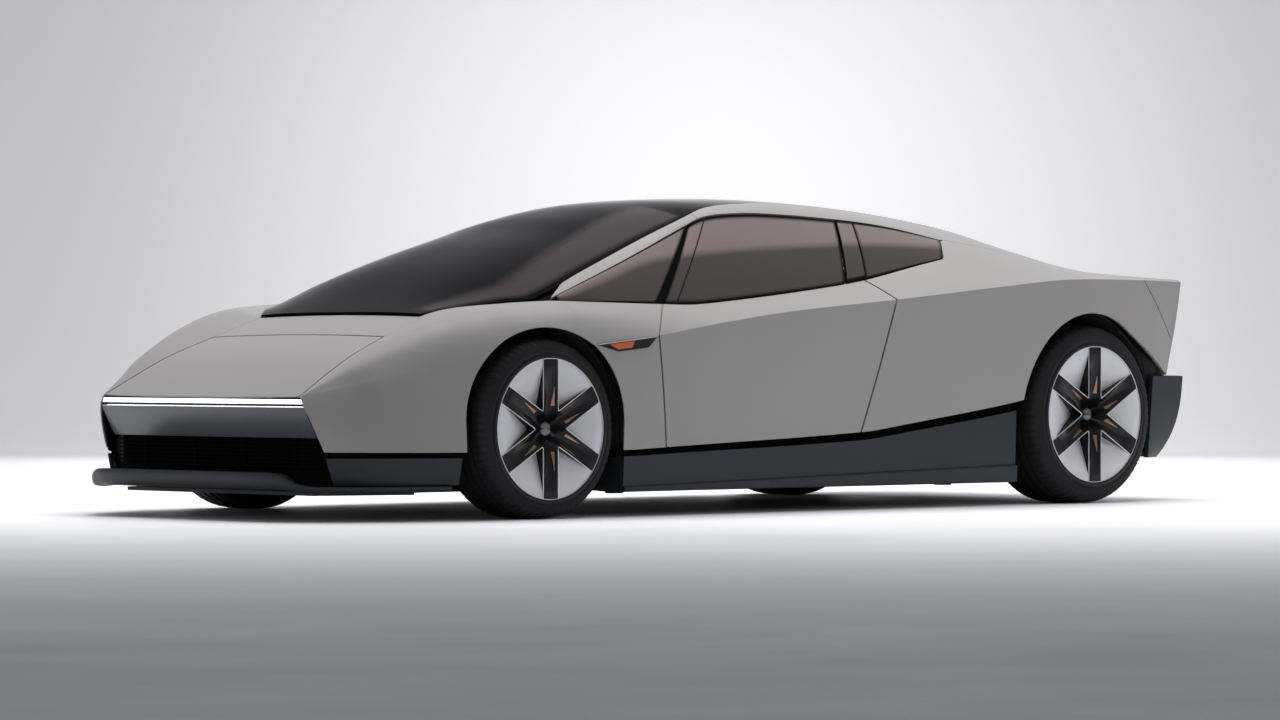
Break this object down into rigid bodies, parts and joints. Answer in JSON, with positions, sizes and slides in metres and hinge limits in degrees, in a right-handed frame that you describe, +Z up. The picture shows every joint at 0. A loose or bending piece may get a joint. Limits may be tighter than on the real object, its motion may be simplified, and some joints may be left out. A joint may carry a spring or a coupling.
{
  "type": "electric sports car",
  "caption": "Low two-door electric fastback car with opening doors, hood and decklid, steered front wheels and dished multi-spoke rims.",
  "frame": {"origin": "on the ground under the middle of the car", "axes": "+X forward, +Y to the car's left, +Z up"},
  "size_m": [4.64, 2.0002, 1.2309],
  "materials": {
    "body_paint": "satin",
    "dark_paint": "satin",
    "black_trim": "matte",
    "tinted_glass": "gloss",
    "lamp_white": "gloss",
    "lamp_red": "gloss",
    "lamp_amber": "gloss",
    "tyre_rubber": "matte",
    "rim_metal": "satin",
    "disc_steel": "satin",
    "cast_metal": "matte",
    "chassis": "matte",
    "seat_leather": "satin",
    "cabin_plastic": "matte"
  },
  "bodies": {
    "body": {"underbody_tray": "chassis", "battery_pack": "chassis", "drive_unit": "cast_metal", "subframes": "chassis", "wishbones": "chassis", "rear_knuckles": "cast_metal", "front_frame": "chassis", "splitter": "dark_paint", "nose_panel": "dark_paint", "grille": "black_trim", "light_bar": "lamp_white", "fender_left": "body_paint", "fender_right": "body_paint", "lower_cladding": "dark_paint", "quarter_left": "body_paint", "quarter_right": "body_paint", "roof_rails": "body_paint", "cowl_panel": "body_paint", "windscreen": "tinted_glass", "roof_glass": "tinted_glass", "rear_glass": "tinted_glass", "side_glass": "tinted_glass", "b_pillars": "black_trim", "tail_panel": "body_paint", "tail_lamp": "lamp_red", "rear_bumper": "dark_paint", "wheel_liners": "black_trim", "cabin_tub": "cabin_plastic", "dashboard": "cabin_plastic", "steering_wheel": "cabin_plastic", "seats": "seat_leather", "side_markers": "lamp_amber", "door_hinges": "chassis", "front_load_box": "black_trim", "rear_load_box": "black_trim"},
    "front_lid": {"hood": "body_paint"},
    "rear_lid": {"decklid": "body_paint"},
    "left_door": {"door_left": "body_paint", "door_glass_left": "tinted_glass"},
    "right_door": {"door_right": "body_paint", "door_glass_right": "tinted_glass"},
    "left_knuckle": {"front_knuckle_left": "cast_metal"},
    "right_knuckle": {"front_knuckle_right": "cast_metal"},
    "front_left_wheel": {"front_left_tyre": "tyre_rubber", "front_left_rim": "rim_metal", "front_left_hub": "disc_steel"},
    "front_right_wheel": {"front_right_tyre": "tyre_rubber", "front_right_rim": "rim_metal", "front_right_hub": "disc_steel"},
    "rear_left_wheel": {"rear_left_tyre": "tyre_rubber", "rear_left_rim": "rim_metal", "rear_left_hub": "disc_steel"},
    "rear_right_wheel": {"rear_right_tyre": "tyre_rubber", "rear_right_rim": "rim_metal", "rear_right_hub": "disc_steel"}
  },
  "joints": [
    {"name": "front_left_steer", "type": "hinge", "parent": "body", "child": "left_knuckle", "pos_m": [1.34, 0.795, 0.3325], "axis": [0, 0, 1], "range_deg": [-30, 30]},
    {"name": "front_right_steer", "type": "hinge", "parent": "body", "child": "right_knuckle", "pos_m": [1.34, -0.795, 0.3325], "axis": [0, 0, 1], "range_deg": [-30, 30]},
    {"name": "front_left_spin", "type": "hinge", "parent": "left_knuckle", "child": "front_left_wheel", "pos_m": [1.34, 0.8325, 0.3325], "axis": [0, 1, 0], "continuous": true},
    {"name": "front_right_spin", "type": "hinge", "parent": "right_knuckle", "child": "front_right_wheel", "pos_m": [1.34, -0.8325, 0.3325], "axis": [0, 1, 0], "continuous": true},
    {"name": "rear_left_spin", "type": "hinge", "parent": "body", "child": "rear_left_wheel", "pos_m": [-1.612, 0.826, 0.362], "axis": [0, 1, 0], "continuous": true},
    {"name": "rear_right_spin", "type": "hinge", "parent": "body", "child": "rear_right_wheel", "pos_m": [-1.612, -0.826, 0.362], "axis": [0, 1, 0], "continuous": true},
    {"name": "left_door_hinge", "type": "hinge", "parent": "body", "child": "left_door", "pos_m": [0.698, 0.94031, 0.25979], "axis": [0, -0.0556, -0.9985], "range_deg": [0, 62]},
    {"name": "right_door_hinge", "type": "hinge", "parent": "body", "child": "right_door", "pos_m": [0.698, -0.94031, 0.25979], "axis": [0, -0.0556, 0.9985], "range_deg": [0, 62]},
    {"name": "hood_hinge", "type": "hinge", "parent": "body", "child": "front_lid", "pos_m": [1.7575, 0, 0.68096], "axis": [0, -1, 0], "range_deg": [0, 55]},
    {"name": "decklid_hinge", "type": "hinge", "parent": "body", "child": "rear_lid", "pos_m": [-1.6225, 0, 0.98697], "axis": [0, 1, 0], "range_deg": [0, 60]}
  ],
  "couplings": [
    {"joint": "front_right_steer", "follows": "front_left_steer", "ratio": 1}
  ]
}
